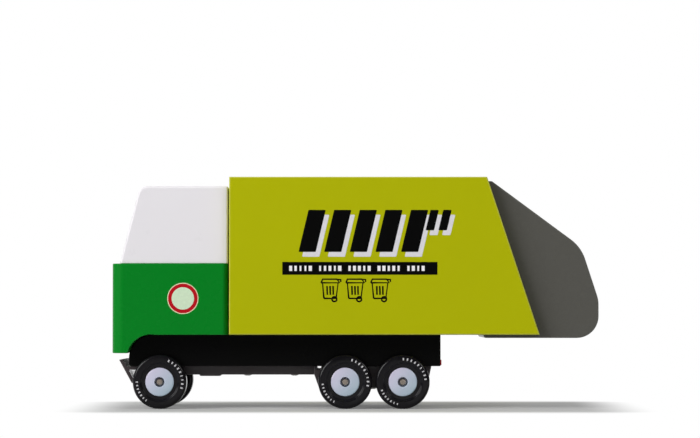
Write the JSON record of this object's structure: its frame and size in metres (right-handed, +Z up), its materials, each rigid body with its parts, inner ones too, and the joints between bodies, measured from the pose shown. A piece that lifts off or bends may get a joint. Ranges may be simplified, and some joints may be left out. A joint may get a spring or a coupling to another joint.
{
  "type": "toy garbage truck",
  "caption": "Painted wooden toy rear-loader garbage truck with a cab-over front, a hollow load body, a tailgate that lifts to empty it, and rolling rubber-tyred wheels.",
  "frame": {"origin": "on the floor, under the middle of the truck's length and width", "axes": "-X is the way the cab faces, +Z up, -Y is the truck's left side"},
  "size_m": [0.244, 0.076, 0.1161],
  "materials": {
    "green_paint": "satin enamel on beech",
    "white_paint": "satin enamel on beech",
    "lime_paint": "satin enamel on birch plywood",
    "grey_paint": "satin enamel on beech",
    "black_paint": "satin enamel on beech",
    "dark_steel": "browned sheet steel",
    "bare_steel": "drawn bright wire",
    "hub_plastic": "moulded pale grey",
    "tyre_rubber": "moulded black rubber"
  },
  "bodies": {
    "truck": {"chassis_block": "black_paint", "cab_lower_block": "green_paint", "cab_upper_block": "white_paint", "body_side_left": "lime_paint", "body_side_right": "lime_paint", "body_roof": "lime_paint", "body_floor": "lime_paint", "body_front_wall": "lime_paint", "front_axle_carrier": "dark_steel", "bogie_carrier": "dark_steel", "spine_rail": "dark_steel", "front_bumper_plate": "dark_steel", "tailgate_hinge_rod": "bare_steel"},
    "tailgate": {"tailgate_cheek_left": "grey_paint", "tailgate_cheek_right": "grey_paint", "tailgate_hood": "grey_paint", "tailgate_tub": "grey_paint"},
    "front_wheelset": {"front_axle": "bare_steel", "front_hub_left": "hub_plastic", "front_hub_right": "hub_plastic", "front_tyre_left": "tyre_rubber", "front_tyre_right": "tyre_rubber"},
    "middle_wheelset": {"middle_axle": "bare_steel", "middle_hub_left": "hub_plastic", "middle_hub_right": "hub_plastic", "middle_tyre_left": "tyre_rubber", "middle_tyre_right": "tyre_rubber"},
    "rear_wheelset": {"rear_axle": "bare_steel", "rear_hub_left": "hub_plastic", "rear_hub_right": "hub_plastic", "rear_tyre_left": "tyre_rubber", "rear_tyre_right": "tyre_rubber"}
  },
  "joints": [
    {"name": "tailgate_lift", "type": "hinge", "parent": "truck", "child": "tailgate", "pos_m": [0.0644, 0, 0.109], "axis": [0, -1, 0], "range_deg": [0, 70]},
    {"name": "front_wheels_roll", "type": "hinge", "parent": "truck", "child": "front_wheelset", "pos_m": [-0.098, 0, 0.0135], "axis": [0, -1, 0], "continuous": true},
    {"name": "middle_wheels_roll", "type": "hinge", "parent": "truck", "child": "middle_wheelset", "pos_m": [-0.0051, 0, 0.0135], "axis": [0, -1, 0], "continuous": true},
    {"name": "rear_wheels_roll", "type": "hinge", "parent": "truck", "child": "rear_wheelset", "pos_m": [0.02375, 0, 0.0135], "axis": [0, -1, 0], "continuous": true}
  ]
}
